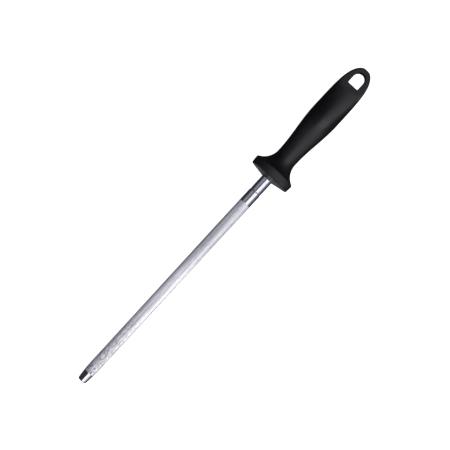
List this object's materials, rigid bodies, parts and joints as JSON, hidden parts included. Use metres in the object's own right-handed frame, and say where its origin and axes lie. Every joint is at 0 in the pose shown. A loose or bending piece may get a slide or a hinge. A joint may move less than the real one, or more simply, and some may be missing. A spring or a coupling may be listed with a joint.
{
  "type": "knife sharpening steel",
  "caption": "Round sharpening steel for knives: fine abrasive rod with polished tip and collar, round guard, and a contoured black handle with a D-shaped hanging hole.",
  "frame": {"origin": "centre of the flat end of the tip", "axes": "+X along the rod from the tip to the butt of the handle; +Z square to the flat faces around the hanging hole; +Y across the handle"},
  "size_m": [0.385, 0.0424, 0.0424],
  "materials": {
    "polished_steel": "polished",
    "abrasive_coat": "satin, finely textured",
    "bare_steel": "machined",
    "core_plastic": "as moulded",
    "grip_plastic": "fine matt grain"
  },
  "bodies": {
    "root": {"tip_plug": "polished_steel", "abrasive_tube": "abrasive_coat", "band_ring": "polished_steel", "neck_collar": "polished_steel", "tang": "bare_steel", "tang_pin_front": "bare_steel", "tang_pin_rear": "bare_steel", "handle_core": "core_plastic", "grip_cover": "grip_plastic"}
  },
  "joints": []
}
